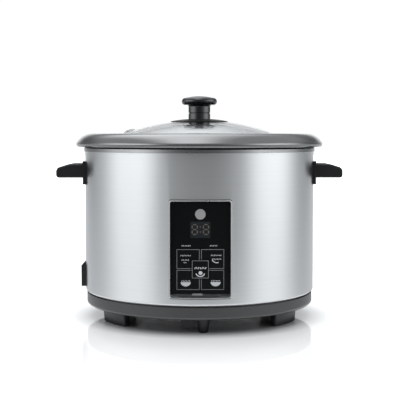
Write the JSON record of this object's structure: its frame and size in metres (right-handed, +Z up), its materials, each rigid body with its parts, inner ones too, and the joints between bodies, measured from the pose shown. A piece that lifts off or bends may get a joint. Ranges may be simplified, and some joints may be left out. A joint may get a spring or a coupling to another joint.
{
  "type": "rice cooker",
  "caption": "Drum rice cooker: brushed steel body, rolled pot rim, glass lid with knob, side handles, recessed key panel, mains inlet.",
  "frame": {"origin": "on the surface the feet stand on, under the body's centre line", "axes": "+Z up, -Y towards the front with the key panel, +X towards the right-hand handle; the mains inlet faces -X"},
  "size_m": [0.347, 0.3008, 0.2689],
  "materials": {
    "brushed_shell": "horizontal brushed satin stainless steel",
    "collar_band": "satin dark grey",
    "grey_coated_pot": "satin metallic grey non-stick coating",
    "clear_glass": "clear tempered glass, polished",
    "lid_band_steel": "polished steel edge band",
    "black_gloss_plastic": "glossy black phenolic",
    "black_satin_plastic": "satin black plastic",
    "dark_grey_plastic": "satin dark grey plastic, fine texture",
    "grey_bezel_plastic": "satin mid grey plastic",
    "black_fascia": "semi-gloss black",
    "key_black": "semi-gloss black with thin grey outline",
    "smoked_window": "smoked gloss",
    "badge_grey": "satin grey",
    "plated_steel": "zinc-plated, dull",
    "aluminised_can": "dull aluminised sheet",
    "cast_aluminium": "cast, machined top",
    "heater_sheath": "dull oxidised steel tube",
    "circuit_board": "green solder mask",
    "component_black": "matt black",
    "brass_pin": "plated brass",
    "transformer_core": "varnished laminations",
    "rubber_pad": "matt black rubber",
    "silicone_seal": "translucent grey silicone",
    "wire_sleeve": "woven heat-proof sleeve"
  },
  "bodies": {
    "housing": {"outer_shell": "brushed_shell", "top_collar": "collar_band", "casing_flange": "aluminised_can", "casing_wall": "aluminised_can", "casing_floor": "aluminised_can", "base_pan": "dark_grey_plastic", "intake_hood": "black_satin_plastic", "bottom_cover": "plated_steel", "cover_screws": "plated_steel", "foot_pads": "rubber_pad", "front_stud": "black_satin_plastic", "tie_fasteners": "plated_steel", "heating_plate": "cast_aluminium", "heater_tube": "heater_sheath", "plate_standoffs": "plated_steel", "standoff_screws": "plated_steel", "sensor_bracket": "plated_steel", "sensor_spring": "plated_steel", "thermal_fuse": "component_black", "fascia_bezel": "grey_bezel_plastic", "fascia_panel": "black_fascia", "display_window": "smoked_window", "display_module": "component_black", "badge_disc": "badge_grey", "control_board": "circuit_board", "tact_switches": "component_black", "panel_screws": "plated_steel", "inlet_housing": "black_satin_plastic", "inlet_pins": "brass_pin", "power_board": "circuit_board", "board_screws": "plated_steel", "relay": "component_black", "transformer": "transformer_core", "mains_leads": "wire_sleeve", "heater_leads": "wire_sleeve", "control_cable": "component_black", "arc_feet": "black_satin_plastic", "handle_backings": "plated_steel", "handle_screws": "plated_steel", "handle_left": "black_satin_plastic", "handle_right": "black_satin_plastic"},
    "pot": {"pot_floor": "grey_coated_pot", "pot_wall": "grey_coated_pot", "pot_rim": "grey_coated_pot"},
    "lid": {"lid_glass": "clear_glass", "lid_band": "lid_band_steel", "steam_vent": "silicone_seal", "knob_skirt": "black_satin_plastic", "knob_collar": "black_gloss_plastic", "knob_cap": "black_gloss_plastic", "knob_gasket": "silicone_seal", "knob_washer": "plated_steel", "knob_screw": "plated_steel"},
    "sensor": {"sensor_cap": "cast_aluminium", "sensor_clip": "plated_steel"},
    "key_top_left": {"key_top_left": "key_black"},
    "key_top_right": {"key_top_right": "key_black"},
    "key_middle": {"key_middle": "key_black"},
    "key_bottom_left": {"key_bottom_left": "key_black"},
    "key_bottom_right": {"key_bottom_right": "key_black"}
  },
  "joints": [
    {"name": "pot_lift", "type": "slide", "parent": "housing", "child": "pot", "axis": [0, 0, 1], "range_m": [0, 0.16]},
    {"name": "lid_lift", "type": "slide", "parent": "pot", "child": "lid", "axis": [0, 0, 1], "range_m": [0, 0.12]},
    {"name": "sensor_press", "type": "slide", "parent": "housing", "child": "sensor", "axis": [0, 0, 1], "range_m": [-0.0025, 0], "stiffness_N_per_m": 400, "springref_m": 0.003, "deforming": ["sensor_spring"]},
    {"name": "key_top_left_press", "type": "slide", "parent": "housing", "child": "key_top_left", "axis": [0, 1, 0], "range_m": [0, 0.0005], "stiffness_N_per_m": 600, "springref_m": -0.0008},
    {"name": "key_top_right_press", "type": "slide", "parent": "housing", "child": "key_top_right", "axis": [0, 1, 0], "range_m": [0, 0.0005], "stiffness_N_per_m": 600, "springref_m": -0.0008},
    {"name": "key_middle_press", "type": "slide", "parent": "housing", "child": "key_middle", "axis": [0, 1, 0], "range_m": [0, 0.0005], "stiffness_N_per_m": 600, "springref_m": -0.0008},
    {"name": "key_bottom_left_press", "type": "slide", "parent": "housing", "child": "key_bottom_left", "axis": [0, 1, 0], "range_m": [0, 0.0005], "stiffness_N_per_m": 600, "springref_m": -0.0008},
    {"name": "key_bottom_right_press", "type": "slide", "parent": "housing", "child": "key_bottom_right", "axis": [0, 1, 0], "range_m": [0, 0.0005], "stiffness_N_per_m": 600, "springref_m": -0.0008}
  ]
}
